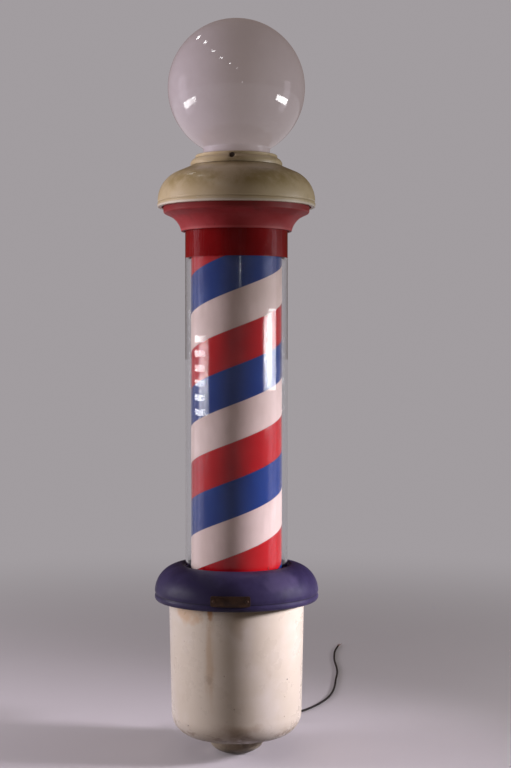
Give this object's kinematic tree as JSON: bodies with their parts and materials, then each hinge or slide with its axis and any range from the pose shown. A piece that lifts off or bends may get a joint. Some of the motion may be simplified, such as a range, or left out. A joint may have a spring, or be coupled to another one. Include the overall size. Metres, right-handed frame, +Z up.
{
  "type": "barber pole light",
  "caption": "Wall-held barber pole light: striped drum turning in a glass cylinder, enamelled bowl, collar and cap, milk-glass globe on top.",
  "frame": {"origin": "centre of the upper bracket's four wall bolts, on the wall plane behind the pole", "axes": "+Z up along the pole towards the globe, +Y into the wall, -Y towards the street, +X to the viewer's right"},
  "size_m": [0.3235, 0.9024, 1.0899],
  "materials": {
    "boss_enamel": "aged cream enamel",
    "bowl_enamel": "gloss white enamel, aged",
    "collar_enamel": "satin navy enamel",
    "cap_enamel": "aged ivory enamel",
    "holder_enamel": "satin red enamel, faded",
    "bronze": "dark tarnished bronze",
    "brass": "satin brass",
    "plated_steel": "zinc plated",
    "dark_steel": "blackened steel",
    "aluminium": "satin",
    "black_rubber": "matt black",
    "clear_glass": "clear, polished",
    "milk_glass": "opal white, gloss",
    "frosted_glass": "frosted",
    "porcelain": "glazed white",
    "dark_plastic": "matt black moulding",
    "white_plastic": "natural nylon",
    "band_red": "deep glossy red",
    "striped_drum": "spiral of red, white and blue",
    "motor_paint": "grey enamel",
    "bracket_paint": "aged ivory enamel",
    "lead_insulation": "brown insulation",
    "cord_sheath": "black, slightly worn",
    "copper": "bare copper"
  },
  "bodies": {
    "pole": {"bottom_boss": "boss_enamel", "bowl": "bowl_enamel", "bowl_washer": "plated_steel", "centre_column": "plated_steel", "column_nuts": "plated_steel", "collar": "collar_enamel", "nameplate": "bronze", "nameplate_rivets": "bronze", "glass_gasket_lower": "black_rubber", "glass_cylinder": "clear_glass", "glass_gasket_upper": "black_rubber", "red_band": "band_red", "upper_holder": "holder_enamel", "holder_bridge": "plated_steel", "cap": "cap_enamel", "cap_seat_ring": "plated_steel", "globe_fitter": "cap_enamel", "globe_screws": "dark_steel", "globe_gasket": "black_rubber", "globe": "milk_glass", "globe_lampholder": "porcelain", "lampholder_nut": "brass", "globe_lamp_base": "brass", "globe_lamp": "frosted_glass", "inner_lampholders": "dark_plastic", "inner_lamp_bases": "brass", "inner_lamps": "frosted_glass", "column_collars": "plated_steel", "collar_grub_screws": "dark_steel", "thrust_washer": "white_plastic", "motor_plate": "plated_steel", "plate_spacers": "plated_steel", "plate_screws": "plated_steel", "gear_motor": "motor_paint", "motor_screws": "plated_steel", "motor_nuts": "plated_steel", "terminal_block": "white_plastic", "inner_leads": "lead_insulation", "cord_strain_relief": "black_rubber", "power_cord": "cord_sheath", "bare_wire_ends": "copper", "upper_bracket": "bracket_paint", "lower_bracket": "bracket_paint", "bracket_screws": "plated_steel", "bracket_nuts": "plated_steel"},
    "drum": {"drum_shell": "striped_drum", "drum_lower_spider": "aluminium", "drum_upper_spider": "aluminium", "drum_rivets": "aluminium", "drum_gear": "white_plastic", "gear_screws": "plated_steel", "lower_bush": "bronze", "upper_bush": "bronze"},
    "motor_output": {"motor_shaft": "plated_steel", "pinion": "brass", "pinion_grub_screw": "dark_steel"}
  },
  "joints": [
    {"name": "drum_spin", "type": "hinge", "parent": "pole", "child": "drum", "pos_m": [0, -0.15, -0.4], "axis": [0, 0, 1], "continuous": true},
    {"name": "pinion_spin", "type": "hinge", "parent": "pole", "child": "motor_output", "pos_m": [-0.054, -0.15, -0.523], "axis": [0, 0, 1], "continuous": true}
  ],
  "couplings": [
    {"joint": "pinion_spin", "follows": "drum_spin", "ratio": -4}
  ]
}
